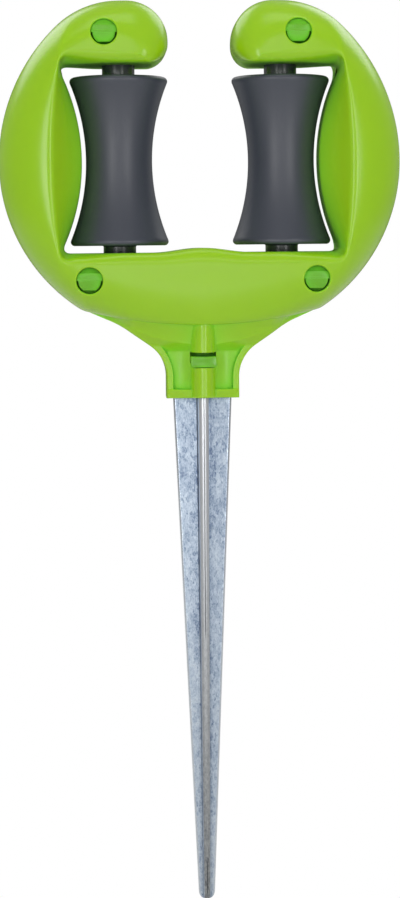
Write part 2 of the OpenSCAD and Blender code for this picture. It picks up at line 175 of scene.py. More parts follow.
def blockOf(low, high):
    points = [(x, y, z) for x in (low[0], high[0]) for y in (low[1], high[1]) for z in (low[2], high[2])]
    faces = [(0, 1, 3, 2), (4, 6, 7, 5), (0, 4, 5, 1), (2, 3, 7, 6), (0, 2, 6, 4), (1, 5, 7, 3)]
    return makePiece("block", points, faces)


# A prism over a flat outline; place turns an outline point and a depth into a point in space
def prismOf(outline, start, end, place):
    return skinRows("prism", [[place(p, d) for p in outline] for d in (start, end)], capped=True)


def rodAlongY(x, z, radius, start, end, segments=96):
    angles = [2 * math.pi * k / segments for k in range(segments)]
    outline = [(x + radius * math.cos(a), z + radius * math.sin(a)) for a in angles]
    return prismOf(outline, start, end, lambda p, d: (p[0], d, p[1]))


def rodAlongZ(x, radius, start, end):
    return turn("rod", [(0, start), (radius, start), (radius, end), (0, end)], (x, 0, 0), 96)


# Lines

def quarter(steps, first=0):
    return [math.pi / 2 * k / steps for k in range(first, steps + 1)]


def arcOf(centre, radius, start, end):
    def at(share):
        angle = math.radians(mix(start, end, share))
        return Vector((centre[0] + radius * math.cos(angle), centre[1] + radius * math.sin(angle)))
    return at


def bendOf(a, v, b):
    def at(share):
        return a * (1 - share) ** 2 + v * (2 * share * (1 - share)) + b * share ** 2
    return at


def curveOf(point, start, end):
    return lambda share: point(mix(start, end, share))


# One line from stretches, read by length, with the lengths at the stretches' ends
def lineFrom(stretches, steps=60):
    points, lengths, marks = [stretches[0](0)], [0.0], [0.0]
    for stretch in stretches:
        for k in range(steps + 1):
            point = stretch(k / steps)
            gap = (point - points[-1]).length
            if gap > 1e-7:
                points.append(point)
                lengths.append(lengths[-1] + gap)
        marks.append(lengths[-1])

    def at(length):
        k = min(max(bisect_right(lengths, length) - 1, 0), len(points) - 2)
        share = clamp((length - lengths[k]) / (lengths[k + 1] - lengths[k]))
        return points[k].lerp(points[k + 1], share)
    return at, marks


# Smooth values between keys, without overshoot
def easedKeys(keys, values):
    steps = [b - a for a, b in zip(keys, keys[1:])]
    slopes = [(b - a) / step for a, b, step in zip(values, values[1:], steps)]
    tangents = [slopes[0]]
    for a, b in zip(slopes, slopes[1:]):
        tangents.append(0 if a * b <= 0 else 2 * a * b / (a + b))
    tangents.append(slopes[-1])

    def at(key):
        k = min(max(bisect_right(keys, key) - 1, 0), len(steps) - 1)
        s, step = (key - keys[k]) / steps[k], steps[k]
        return (values[k] * (1 + 2 * s) * (1 - s) ** 2 + step * tangents[k] * s * (1 - s) ** 2
                + values[k + 1] * s * s * (3 - 2 * s) + step * tangents[k + 1] * s * s * (s - 1))
    return at


# Points along a path, closer together where it bends
def spreadAlong(path, count, bendLength=4.0):
    reach = [0.0]
    for k in range(1, len(path)):
        step = (path[k] - path[k - 1]).length
        if 0 < k < len(path) - 1 and step > 1e-6:
            ahead = path[k + 1] - path[k]
            if ahead.length > 1e-6:
                step += bendLength * (path[k] - path[k - 1]).angle(ahead)
        reach.append(reach[-1] + step)
    spread = []
    for n in range(count):
        goal = reach[-1] * n / (count - 1)
        k = min(max(bisect_right(reach, goal) - 1, 0), len(path) - 2)
        gap = reach[k + 1] - reach[k]
        spread.append(path[k].lerp(path[k + 1], clamp((goal - reach[k]) / gap) if gap else 0))
    return spread


# Camera, a little to the left of the axis, with a slight roll

view = dict(height=61.0, distance=872.0, turn=3.0, aside=-0.35, roll=0.54, middle=-20.5, perPixel=0.4,
            pixelsHigh=898, sensor=36.0)


def makeCamera():
    data = bpy.data.cameras.new("camera")
    data.sensor_width = view["sensor"]
    tall = view["perPixel"] * view["pixelsHigh"]
    data.lens = view["sensor"] * view["distance"] / tall
    data.shift_y = (view["middle"] - view["height"]) / tall
    camera = bpy.data.objects.new("camera", data)
    bpy.context.scene.collection.objects.link(camera)
    turnAngle = math.radians(view["turn"])
    away = view["distance"] * Vector((-math.sin(turnAngle), -math.cos(turnAngle)))
    camera.location = Vector((away.x + view["aside"], away.y, view["height"])) * mm
    camera.rotation_euler = (math.radians(90), math.radians(view["roll"]), -turnAngle)
    bpy.context.scene.camera = camera


makeCamera()
print("camera ready")


# Rollers: a hollow sleeve with round rims, and a cap with a journal at each end

roller = dict(endRadius=19.4, waistRadius=13.2, rimRadius=1.6, rimShare=1.4, rimStart=10, boreRadius=9.5,
              seatRadius=15.0, seatDepth=4.0, spigot=9.0, journalRadius=6.5, collarRadius=8.3, collar=2.0,
              fillet=0.5, chamfer=0.3, sides=48)
sleeveLow, sleeveHigh = boxOf("right_roller_sleeve")
rollerX = (sleeveLow.x + sleeveHigh.x) / 2
waistZ = (sleeveLow.z + sleeveHigh.z) / 2
rollerLength = sleeveHigh.z - sleeveLow.z
hollowLength = rollerLength - 2 * roller["rimShare"] * roller["rimRadius"]
hollowDepth = roller["endRadius"] - roller["waistRadius"]
hollowRadius = ((hollowLength / 2) ** 2 + hollowDepth ** 2) / (2 * hollowDepth)


def sleeveProfile():
    half, rim = rollerLength / 2, roller["rimRadius"]
    tilt = math.degrees(math.asin(hollowLength / 2 / hollowRadius))
    rimX = roller["endRadius"] - rim * math.cos(math.radians(tilt))
    rimArc = arcOf((rimX, half - rim), rim, roller["rimStart"] - tilt, 90)
    edge, seat = roller["chamfer"], roller["seatRadius"]
    side = []
    for k in range(roller["sides"] + 1):
        z = hollowLength / 2 * k / roller["sides"]
        side.append((roller["waistRadius"] + hollowRadius - math.sqrt(hollowRadius ** 2 - z * z), z))
    upper = side + [tuple(rimArc(k / 12)) for k in range(1, 13)]
    floor = half - roller["seatDepth"]
    upper += [(seat + edge, half), (seat, half - edge), (seat, floor), (roller["boreRadius"], floor)]
    return [(r, -z) for r, z in reversed(upper[1:])] + upper


def capProfile(reach):
    edge, fillet, seat = roller["chamfer"], roller["fillet"], roller["seatDepth"]
    bore, rim, journal = roller["boreRadius"], roller["seatRadius"], roller["journalRadius"]
    foot, end, collar = -seat - roller["spigot"], reach + roller["collar"], roller["collarRadius"]
    root = arcOf((journal + fillet, fillet), fillet, 270, 180)
    profile = [(0, foot), (bore - edge, foot), (bore, foot + edge), (bore, -seat), (rim, -seat)]
    profile += [(rim, -edge), (rim - edge, 0)] + [tuple(root(k / 4)) for k in range(5)]
    return profile + [(journal, reach), (collar, reach), (collar, end), (0, end)]


def makeRollers():
    made = []
    for side, x in (("left", -rollerX), ("right", rollerX)):
        sleeve = turn(side + "Sleeve", sleeveProfile(), (x, 0, waistZ), closed=True)
        made.append((sleeve, side + "_roller", side + "_roller_sleeve", "roller_plastic"))
        for end, z, way in (("top", sleeveHigh.z, 1), ("bottom", sleeveLow.z, -1)):
            node = side + "_roller_" + end + "_cap"
            low, high = boxOf(node)
            reach = (high.z - z if way > 0 else z - low.z) - roller["collar"]
            profile = [(r, way * h) for r, h in capProfile(reach)]
            cap = turn(side + end.capitalize() + "Cap", profile, (x, 0, z))
            made.append((cap, side + "_roller", node, "cap_plastic"))
    for piece, *rest in made:
        shadeSmooth(piece, 30)
    return made


pieces = makeRollers()
print("rollers:", len(pieces), "pieces")


# Head: a horseshoe skin lofted over three lines, the outer outline, the ridge and the roller's opening

head = dict(hoseGap=38.4, topGap=4.8, lowGap=2.9, sideGap=1.6, hump=1.8, entry=25.6, crownRadius=36.0,
            tipTopRadius=16.6, tipLowRadius=8.0, hipWidth=95.0, hipRise=5.7, hipRound=1.6, edgeRadius=3.4,
            slope=12.3, ridgeRadius=205.0, cornerRadius=4.2, cornerSpan=15.0, lowEdge=29.7, wall=2.4,
            crest=0.985, ridgeRound=1.7, ridgeLift=0.5, barSide=27.0, armStops=(0, 0.25, 0.625, 1),
            groove=0.16, grooveRise=1.5, innerRound=0.95, roomWall=0.06, rows=340, columns=30, roomRows=110,
            roomColumns=12, ridgePoints=9, climbSteps=24)
# From the arm's tip round to the bar's middle: the upright share of each side, the share of the way to the
# ridge that its round takes, and how full that round is
section = dict(outerWall=[0.84, 0.3, 0.1, 0.06, 0.05, 0.05, 0.05, 0.05, 0.12, 0.62, 0.8],
               outerRound=[0.9, 0.7, 0.72, 0.84, 0.92, 0.95, 0.95, 0.94, 0.92, 0.8, 0.75],
               outerBulge=[1, 1, 0.98, 0.9, 0.82, 0.78, 0.82, 0.9, 0.96, 1, 1],
               innerWall=[0.84, 0.84, 0.74, 0.36, 0.29, 0.28, 0.29, 0.36, 0.44, 0.84, 0.84],
               innerBulge=[1, 1, 1, 0.7, 0.35, 0.05, 0.35, 0.7, 0.85, 1, 1])
shellLow, shellHigh = boxOf("front_shell")
halfWidth, halfDepth, armTop = shellHigh.x, -shellLow.y, shellHigh.z
armLow = sleeveHigh.z + head["topGap"]
barTop = sleeveLow.z - head["lowGap"]
hipX, hipZ = head["hipWidth"] / 2, head["lowEdge"] + head["hipRise"]
lowEdgeRadius = (hipX ** 2 + head["hipRise"] ** 2) / (2 * head["hipRise"])


def lowEdgeAt(x):
    return Vector((x, head["lowEdge"] + lowEdgeRadius - math.sqrt(lowEdgeRadius ** 2 - x * x)))


def outerStretches():
    crown = head["crownRadius"]
    crownX, crownZ = rollerX, armTop - crown
    reach, rise = halfWidth - crown, crownZ - waistZ
    sideX = (reach ** 2 - crownX ** 2 - rise ** 2) / (2 * (reach - crownX))
    crownEnd = math.degrees(math.atan2(rise, crownX - sideX))
    hipIn = halfWidth - hipX
    lowRadius = (hipIn ** 2 + (waistZ - hipZ) ** 2) / (2 * hipIn)
    lowX = halfWidth - lowRadius
    hipAngle = -math.degrees(math.acos((hipX - lowX) / lowRadius))
    hipStop = hipAngle + math.degrees(head["hipRound"] / lowRadius)
    tipLow, tipTop, span = head["tipLowRadius"], head["tipTopRadius"], head["cornerSpan"]
    tipX = head["entry"] / 2
    side = arcOf((lowX, waistZ), lowRadius, 0, hipStop)
    turned = (hipAngle + span) / hipStop
    return [
        arcOf((tipX + tipLow, armLow + tipLow), tipLow, 270, 180),
        arcOf((tipX + tipTop, armTop - tipTop), tipTop, 180, 90),
        arcOf((crownX, crownZ), crown, 90, crownEnd + span),
        arcOf((crownX, crownZ), crown, crownEnd + span, crownEnd),
        arcOf((sideX, waistZ), halfWidth - sideX, crownEnd, 0),
        curveOf(side, 0, turned),
        curveOf(side, turned, 1),
        bendOf(side(1), Vector((hipX, hipZ)), lowEdgeAt(hipX - head["hipRound"])),
        curveOf(lowEdgeAt, hipX - head["hipRound"], head["barSide"]),
        curveOf(lowEdgeAt, head["barSide"], 0),
    ]


# The arm's underside, the head's side and the bar's top, with a rounded corner at each end of the side
def openingStretches(sideAt, high, low, start, lift):
    corner, gap = head["cornerRadius"], head["hoseGap"]
    a, b = Vector((sideAt(high).x - corner, high)), sideAt(high - corner)
    d, e = sideAt(low + corner), Vector((sideAt(low).x - corner, low))

    def arm(share):
        return Vector((mix(start, a.x, share), high))

    def bar(share):
        x = mix(e.x, 0, share)
        swell = head["hump"] * (1 + math.cos(2 * math.pi * x / gap)) / 2 if abs(x) < gap / 2 else 0
        return Vector((x, low + lift * swell))

    armStops, barStops = head["armStops"], (0, head["hipRound"] / hipX, 1 - head["barSide"] / hipX, 1)
    return ([curveOf(arm, *stops) for stops in zip(armStops, armStops[1:])]
            + [bendOf(a, sideAt(high), b), curveOf(sideAt, b.y, waistZ), curveOf(sideAt, waistZ, d.y)]
            + [bendOf(d, sideAt(low), e)] + [curveOf(bar, *stops) for stops in zip(barStops, barStops[1:])])


# The opening's side and the ridge beside it, each a point at a height
def innerSideAt(z):
    radius = hollowRadius - head["sideGap"]
    inner = rollerX + roller["waistRadius"] + head["sideGap"]
    return Vector((inner + radius - math.sqrt(radius ** 2 - (z - waistZ) ** 2), z))


def ridgeSideAt(z):
    ridge = rollerX + roller["waistRadius"] + head["sideGap"] + head["slope"]
    radius = head["ridgeRadius"]
    return Vector((ridge - radius + math.sqrt(radius ** 2 - (z - waistZ) ** 2), z))


edge = head["edgeRadius"]
tipStart = head["entry"] / 2 + head["tipLowRadius"]
outerLine, outerMarks = lineFrom(outerStretches())
innerLine, innerMarks = lineFrom(openingStretches(innerSideAt, armLow, barTop, tipStart, 1))
ridgeLine, ridgeMarks = lineFrom(
    openingStretches(ridgeSideAt, armLow + edge, barTop - edge, tipStart + edge, head["ridgeLift"]))
rowKeys = [(a + b + c) / 3 for a, b, c in zip(outerMarks, innerMarks, ridgeMarks)]
outerAt, innerAt, ridgeAt = (easedKeys(rowKeys, marks) for marks in (outerMarks, innerMarks, ridgeMarks))
shapeAt = {label: easedKeys(rowKeys, values) for label, values in section.items()}


# One side of a cross section, from its foot at the parting plane up to the ridge
def climb(foot, top, depth, wall, wide, bulge, groove):
    across = top - foot
    inward = across.normalized() * groove
    if groove:
        path = [Vector((foot.x + inward.x, 0, foot.y + inward.y)),
                Vector((foot.x, -head["grooveRise"] * groove, foot.y))]
    else:
        path = [Vector((foot.x, 1, foot.y))]
    for k in range(head["climbSteps"] + 1):
        s = k / head["climbSteps"]
        way = wide * mix(s, 1 - math.cos(s * math.pi / 2), bulge)
        up = mix(wall, head["crest"], mix(s, math.sin(s * math.pi / 2), bulge))
        path.append(Vector((foot.x + across.x * way, -depth * up, foot.y + across.y * way)))
    path.append(Vector((top.x, -depth, top.y)))
    return path


# Cuts a path back from its end by a distance
def cutBack(path, distance):
    path = list(path)
    while (path[-1] - path[-2]).length < distance and len(path) > 3:
        distance -= (path[-1] - path[-2]).length
        path.pop()
    path[-1] = path[-1].lerp(path[-2], distance / (path[-1] - path[-2]).length)
    return path


def sectionAt(key, inset, columns, groove):
    top = ridgeLine(ridgeAt(key))
    outer, inner = outerLine(outerAt(key)), innerLine(innerAt(key))
    outer = outer + (top - outer).normalized() * inset
    inner = inner + (top - inner).normalized() * inset
    depth, shape = halfDepth - inset, {label: at(key) for label, at in shapeAt.items()}
    if not groove:
        shape.update(innerWall=head["roomWall"], innerBulge=0)
    outside = climb(outer, top, depth, shape["outerWall"], shape["outerRound"], shape["outerBulge"], groove)
    inside = climb(inner, top, depth, shape["innerWall"], head["innerRound"], shape["innerBulge"], groove)
    ridge = outside[-1]
    outside, inside = cutBack(outside, head["ridgeRound"]), cutBack(inside, head["ridgeRound"])
    crown = bendOf(outside[-1], ridge, inside[-1])
    count = head["ridgePoints"]
    middle = [crown((k + 1) / (count + 1)) for k in range(count)]
    return spreadAlong(outside, columns) + middle + list(reversed(spreadAlong(inside, columns)))


def headSolid(name, inset, rows, columns, groove):
    keys = [rowKeys[-1] * k / rows for k in range(rows + 1)]
    right = [sectionAt(key, inset, columns, groove) for key in keys]
    left = [[Vector((-p.x, p.y, p.z)) for p in row] for row in reversed(right[:-1])]
    return skinRows(name, right + left, pinched=True)


# Neck: a front face worked out as a depth at each place, closed by the parting plane

neck = dict(width=28.6, straight=8.6, flareRadius=15.5, flareAngle=55, flareRun=10.5, wideRadius=38.0,
            wideTurn=70, frame=2.6, frameDepth=8.5, panelDepth=6.4, rim=3.8, rimMiddle=12.0, panelTop=19.2,
            coveFoot=21.9, coveSide=26.4, coveReach=23.3, coveLow=11.2, coveDepth=14.0, coveBend=1.4,
            spineWidth=10.0, spineDepth=17.0, spineRise=8.5, spineOut=0.3, spineIn=0.02, soften=0.5,
            edgeRound=0.8, footRound=0.5, hollow=6.7, hollowRise=2.2, rimLean=0.5, rimSoft=0.25, draft=0.06,
            draftRise=8.0, hipIn=0.6, hipLift=0.45, fadeFrom=26.0, fadeTo=40.0, fadeDepth=2.4, near=0.5,
            rows=130, sideSteps=40)


def neckSideLine():
    width, radius, angle = neck["width"] / 2, neck["flareRadius"], math.radians(neck["flareAngle"])
    turnEnd = Vector((width + radius * (1 - math.cos(angle)), neck["straight"] + radius * math.sin(angle)))
    runEnd = turnEnd + neck["flareRun"] * Vector((math.sin(angle), math.cos(angle)))
    wide = runEnd + neck["wideRadius"] * Vector((math.cos(angle), -math.sin(angle)))
    stretches = [curveOf(lambda z: Vector((width, z)), 0, neck["straight"]),
                 arcOf((width + radius, neck["straight"]), radius, 180, 180 - neck["flareAngle"]),
                 lambda share: turnEnd.lerp(runEnd, share),
                 arcOf(wide, neck["wideRadius"], 180 - neck["flareAngle"], 180 - neck["wideTurn"])]
    hip = Vector((hipX, hipZ)) + neck["hipIn"] * Vector((-1, neck["hipLift"]))
    stretches.append(lambda share: stretches[3](1).lerp(hip, share))
    steps = neck["sideSteps"]
    return [stretch(k / steps) for stretch in stretches for k in range(steps + 1)]


neckSide = neckSideLine()


# Half width of the neck at a height, and how fast it grows there
def neckHalfAt(z):
    heights = [p.y for p in neckSide]
    k = min(max(bisect_right(heights, z) - 1, 0), len(neckSide) - 2)
    a, b = neckSide[k], neckSide[k + 1]
    rise = max(b.y - a.y, 1e-6)
    return mix(a.x, b.x, clamp((z - a.y) / rise)), (b.x - a.x) / rise


def neckDepthAt(x, z):
    x = abs(x)
    half, growth = neckHalfAt(z)
    inFrom = (half - x) / math.sqrt(1 + growth * growth)
    soften, panel, framed = neck["soften"], neck["panelDepth"], neck["frameDepth"]
    nose = neck["spineWidth"] / 2
    frameEdge = smoothStep(neck["frame"] + soften / 2, neck["frame"] - soften / 2, inFrom)
    panel += neck["hollowRise"] * (1 - clamp((x - nose) / neck["hollow"])) ** 2
    depth = mix(panel, framed, frameEdge)
    # the recess closes above in a steep band, then a cove runs up under the head
    band = mix(neck["coveFoot"], neck["coveSide"], (x / neck["coveReach"]) ** 2)
    under = lowEdgeAt(min(x, hipX - 1)).y
    if z > band:
        rise = clamp((z - band) / max(under - band, 1))
        cove = mix(neck["coveLow"], neck["coveDepth"], rise ** neck["coveBend"])
    else:
        cove = mix(panel, neck["coveLow"], (z - neck["panelTop"]) / (band - neck["panelTop"]))
    depth = softMax(depth, cove, soften)
    rim, rimSoft = neck["rim"], neck["rimSoft"]
    rimSlope = mix(neck["rimMiddle"], framed, clamp((x - nose) / (neck["width"] / 2 - nose)))
    rimSlope -= neck["rimLean"] * (1 - z / rim)
    depth = mix(depth, max(depth, rimSlope), smoothStep(rim + rimSoft, rim - rimSoft, z))
    if x < nose + soften:
        spine = neck["spineDepth"] - neck["spineRise"] * (1 - math.sqrt(max(1 - (x / nose) ** 2, 0)))
        depth = mix(depth, max(depth, spine), smoothStep(nose + neck["spineOut"], nose - neck["spineIn"], x))
    edgeRound, footRound = neck["edgeRound"], neck["footRound"]
    if inFrom < edgeRound:
        depth -= edgeRound - math.sqrt(max(edgeRound ** 2 - (edgeRound - max(inFrom, 0)) ** 2, 0))
    if z < footRound:
        depth -= footRound - math.sqrt(footRound ** 2 - (footRound - z) ** 2)
    fade = smoothStep(neck["fadeFrom"], neck["fadeTo"], x)
    return mix(depth, min(depth, neck["fadeDepth"]), fade)


# Columns lie close together at the spine's sides and at the frame's edges
def neckColumns(z):
    half, growth = neckHalfAt(z)
    stretch = math.sqrt(1 + growth * growth)
    nose, inner = neck["spineWidth"] / 2, half - neck["frame"] * stretch
    near = neck["near"]
    stops = [(0, 12), (nose - near, 12), (nose + near, 14), (inner - near * stretch, 10),
             (inner + near * stretch, 5), (half - neck["edgeRound"] * stretch, 8), (half, 0)]
    columns = []
    for (start, count), (end, _) in zip(stops, stops[1:]):
        columns += [mix(start, end, k / count) for k in range(count)]
    return columns + [half]


def neckSolid(name):
    rows = []
    for k in range(neck["rows"] + 1):
        z = neckSide[-1].y * k / neck["rows"]
        columns = neckColumns(z)
        lift = neck["draft"] * clamp(1 - z / neck["draftRise"])
        right = [(x, -depth, z + lift * depth) for x, depth in ((x, neckDepthAt(x, z)) for x in columns)]
        half, groove = columns[-1], head["groove"]
        lip = -head["grooveRise"] * groove
        back = [(half, lip, z), (half - groove, 0, z), (groove - half, 0, z), (-half, lip, z)]
        rows.append([(-x, y, z) for x, y, z in reversed(right[1:])] + right + back)
    return skinRows(name, rows, capped=True)


# Snap hooks: round windows in the front shell, and the rear shell's hook ends in them

snap = dict(window=5.2, lip=0.55, lipWide=0.5, lipOver=0.12, lipClear=3.0, topX=5.8, topZ=11.9, lowX=12.2,
            lowZ=10.7, gap=0.14, room=0.6, flat=57, step=5.2, sink=3.4, catch=2.0, nose=4.0, rampIn=1.5,
            tipZ=0.4, lean=1.0, soften=0.22, skirtDrop=0.05, slotWidth=10.3, slotHeight=6.1, slotLow=12.7,
            boss=1.9, neckRoom=1.7, neckStep=12.0, neckLow=0.2, neckBack=0.4, neckSoften=0.3)
snapPlaces = [(s * (rollerX + snap["topX"]), armLow + snap["topZ"]) for s in (-1, 1)]
snapPlaces += [(s * (rollerX + snap["lowX"]), barTop - snap["lowZ"]) for s in (-1, 1)]
hookRadius = snap["window"] - snap["gap"]
hookEnd = halfDepth - snap["sink"]
ledgeZ, ledgeY = hookRadius - snap["catch"], hookEnd - snap["nose"]


# A cutter for a window, with a rounded lip that follows the front's own surface
def windowCutter(skin, x, z, segments=96):
    radius, lip = snap["window"], snap["lip"]
    rings = []
    for k in range(segments):
        angle = 2 * math.pi * k / segments
        way = Vector((math.cos(angle), 0, math.sin(angle)))
        probe = Vector((x, -2 * halfDepth, z)) + way * (radius + lip)
        hit = skin.ray_cast(probe * mm, Vector((0, 1, 0)))[0]
        face = hit.y / mm if hit else -halfDepth
        profile = [(radius, -ledgeY), (radius, face + 2 * lip)]
        profile += [(radius + lip * (1 - math.cos(a)), face + lip * (1 - math.sin(a))) for a in quarter(6)]
        wide = radius + lip + snap["lipWide"]
        profile += [(wide, face - snap["lipOver"]), (wide, face - snap["lipClear"])]
        rings.append([(x + way.x * r, y, z + way.z * r) for r, y in profile])
    return skinRows("windowCutter", [list(row) for row in zip(*rings)], capped=True)


# A round hook: a flat-footed stem with a leaning face, a set-back skirt behind it, and a ramped nose on top
def hookAt(x, z):
    r, rim, top = hookRadius, hookRadius - snap["room"], ledgeZ - snap["gap"]
    angles = [math.radians(snap["flat"] * (k / 4 - 1)) for k in range(5)]
    half = [(rim * math.cos(a), rim * math.sin(a)) for a in angles] + [(r, r - rim), (r, top)]
    outline = [(-a, b) for a, b in reversed(half)] + half

    def place(p, share):
        face = snap["lean"] * clamp((snap["tipZ"] - p[1]) / r) - hookEnd
        return x + p[0], mix(face, 1, share), z + p[1]

    stem = prismOf(outline, 0, 1, place)
    skirt = rodAlongY(x, z, r, snap["step"] - hookEnd, 1)
    above = blockOf((x - 2 * r, -halfDepth, z + top - snap["skirtDrop"]), (x + 2 * r, halfDepth, z + 2 * r))
    carve(skirt, above, "DIFFERENCE")
    carve(stem, skirt, "UNION")
    back = -ledgeY - snap["gap"]
    ramp = [(-hookEnd, 0), (-hookEnd, snap["tipZ"]), (snap["rampIn"] - hookEnd, r), (back, r), (back, 0)]
    nose = prismOf(ramp, -r, r, lambda p, d: (x + d, p[0], z + p[1]))
    carve(stem, nose, "UNION")
    carve(stem, rodAlongY(x, z, r, -hookEnd - 1, 2), "INTERSECT")
    return softenEdges(stem, snap["soften"])


def neckHook():
    half = snap["slotWidth"] / 2 - snap["gap"]
    end = neck["spineDepth"] - snap["sink"] / 2
    low, high, root = snap["slotLow"], snap["slotLow"] + snap["slotHeight"], neck["frameDepth"] - 1
    stemLow, top = low + snap["catch"], high - snap["neckRoom"]
    noseEnd = snap["nose"] - end - snap["neckBack"]
    hook = blockOf((-half, -end, stemLow), (half, root, top))
    carve(hook, blockOf((-half, -end, low + snap["neckLow"]), (half, noseEnd, top)), "UNION")
    carve(hook, blockOf((-half, snap["neckStep"] - end, stemLow), (half, root, high - snap["gap"])), "UNION")
    return softenEdges(hook, snap["neckSoften"])


# Shells: the head and the neck in one, hollow, with the rooms for journals, stake and hooks

bearing = dict(clear=0.08, collarClear=0.3, tangClear=0.2, tang=26.0, wing=11.7, ribHalf=2.0, ribDepth=12.0,
               sheetHalf=0.875, overlap=0.01)


def carveRooms(shell, side):
    wall, radius = head["wall"], roller["collarRadius"] + bearing["collarClear"]
    pocket = roller["collar"] + 2 * bearing["collarClear"]
    room = headSolid("room", wall, head["roomRows"], head["roomColumns"], 0)
    if side > 0:
        mirrorDepth(room)
    keep = hookRadius if side > 0 else snap["window"] + snap["boss"]
    for x, z in snapPlaces:
        carve(room, rodAlongY(x, z, keep, -2 * halfDepth, 2 * halfDepth), "DIFFERENCE")
    half, tall = radius + snap["boss"], wall + pocket + snap["boss"]
    for x in (-rollerX, rollerX):
        for z in (armLow, barTop - tall):
            low = (x - half, -2 * halfDepth, z - bearing["overlap"])
            carve(room, blockOf(low, (x + half, 2 * halfDepth, z + tall)), "DIFFERENCE")
    carve(shell, room, "DIFFERENCE")
    bore, armIn, barIn = roller["journalRadius"] + bearing["clear"], armLow + wall, barTop - wall
    for x in (-rollerX, rollerX):
        for size, low, high in ((bore, armLow - 1, armIn + 1), (radius, armIn, armIn + pocket),
                                (bore, barIn - 1, barTop + 1), (radius, barIn - pocket, barIn)):
            carve(shell, rodAlongZ(x, size, low, high), "DIFFERENCE")
    clear, thick = bearing["tangClear"], bearing["sheetHalf"]
    rib, wing, flat = bearing["ribHalf"] + clear, bearing["wing"] + clear, thick + clear
    right = [(rib, -bearing["ribDepth"] - clear), (rib, -flat - thick), (rib + thick, -flat),
             (wing, -flat), (wing, flat)]
    outline = right + [(-x, y) for x, y in reversed(right)]
    carve(shell, prismOf(outline, -1, bearing["tang"] + clear, lambda p, d: (p[0], p[1], d)), "DIFFERENCE")


def makeShells():
    front = headSolid("frontShell", 0, head["rows"], head["columns"], head["groove"])
    carve(front, neckSolid("neck"), "UNION")
    skin = BVHTree.FromObject(front, bpy.context.evaluated_depsgraph_get())
    rear = bpy.data.objects.new("rearShell", front.data.copy())
    bpy.context.scene.collection.objects.link(rear)
    mirrorDepth(rear)
    carveRooms(front, -1)
    for x, z in snapPlaces:
        carve(front, windowCutter(skin, x, z), "DIFFERENCE")
        under = rodAlongY(x, z, snap["window"], -ledgeY - 1, 1)
        far = 2 * snap["window"]
        carve(under, blockOf((x - far, -halfDepth, z + ledgeZ), (x + far, halfDepth, z + far)), "DIFFERENCE")
        carve(front, under, "DIFFERENCE")
    half, low = snap["slotWidth"] / 2, snap["slotLow"]
    high = low + snap["slotHeight"]
    mouth = neck["spineDepth"] - snap["sink"] / 2 - snap["nose"]
    carve(front, blockOf((-half, -2 * halfDepth, low), (half, -mouth, high)), "DIFFERENCE")
    ledge = low + snap["catch"] - snap["gap"]
    carve(front, blockOf((-half, -halfDepth, ledge), (half, 1, high)), "DIFFERENCE")
    print("front shell:", len(front.data.polygons), "faces")
    carveRooms(rear, 1)
    for x, z in snapPlaces:
        carve(rear, hookAt(x, z), "UNION")
    carve(rear, neckHook(), "UNION")
    print("rear shell:", len(rear.data.polygons), "faces")
    for shell in (front, rear):
        shadeSmooth(shell, 32)
    return [(front, "head", "front_shell", "lime_plastic"), (rear, "head", "rear_shell", "lime_plastic")]


pieces += makeShells()


# Stake: one folded sheet with two wings, a hollow rib, and a slit at the back

stake = dict(width=23.4, tipWidth=6.5, sheet=1.75, fold=0.5, rib=12.0, ribTip=3.4, bend=0.9, edgeWide=1.3,
             edgeShare=0.5, slitLip=0.4, tipShare=0.7, seamStart=17.0, seamFull=10.2, seamEnd=3.5,
             seamStop=1.5, seamDeep=0.7, seamHalf=0.14, seamLip=0.05, seamBrow=0.02, creaseEnd=-97.0,
             creaseFade=6.0, creaseDeep=0.45, tangRows=4, rows=60, tipRows=12, tipAngle=82)
stakeLow, stakeHigh = boxOf("stake")


# Half of the folded sheet's outline, from the rib's nose round the wing's edge to the slit
def halfSheet(wing, rib, share, seam):
    thick, sheetHalf = stake["sheet"] * share, stake["sheet"] / 2
    ribHalf, slit = (stake["sheet"] + stake["fold"] / 2) * share, stake["fold"] / 2 * share
    bend, wide = stake["bend"] * share, min(stake["edgeWide"], wing / 3)
    lip, seamHalf = stake["slitLip"], stake["seamHalf"] * share
    line = [(0, seam - rib), (seamHalf, seam - rib)]
    line += [(ribHalf * math.sin(a), ribHalf * (1 - math.cos(a)) - rib) for a in quarter(10, 1)]
    if seam > 0:
        line[2] = (seamHalf + stake["seamLip"], line[2][1] - stake["seamBrow"])
    line += [(ribHalf + bend * (1 - math.cos(a)), -sheetHalf - bend * (1 - math.sin(a))) for a in quarter(6)]
    line += [(wing - wide * (1 - math.sin(a)), -sheetHalf * math.cos(a)) for a in quarter(7)]
    line += [(wing - stake["edgeShare"] * sheetHalf * (1 - math.cos(a)), sheetHalf * math.sin(a))
             for a in quarter(5, 1)]
    deep, inside = thick - rib, thick - rib + slit
    line += [(slit + lip, sheetHalf), (slit, sheetHalf - lip), (slit, mix(sheetHalf - lip, inside, 0.5))]
    return line + [(slit, inside), (0, deep)]


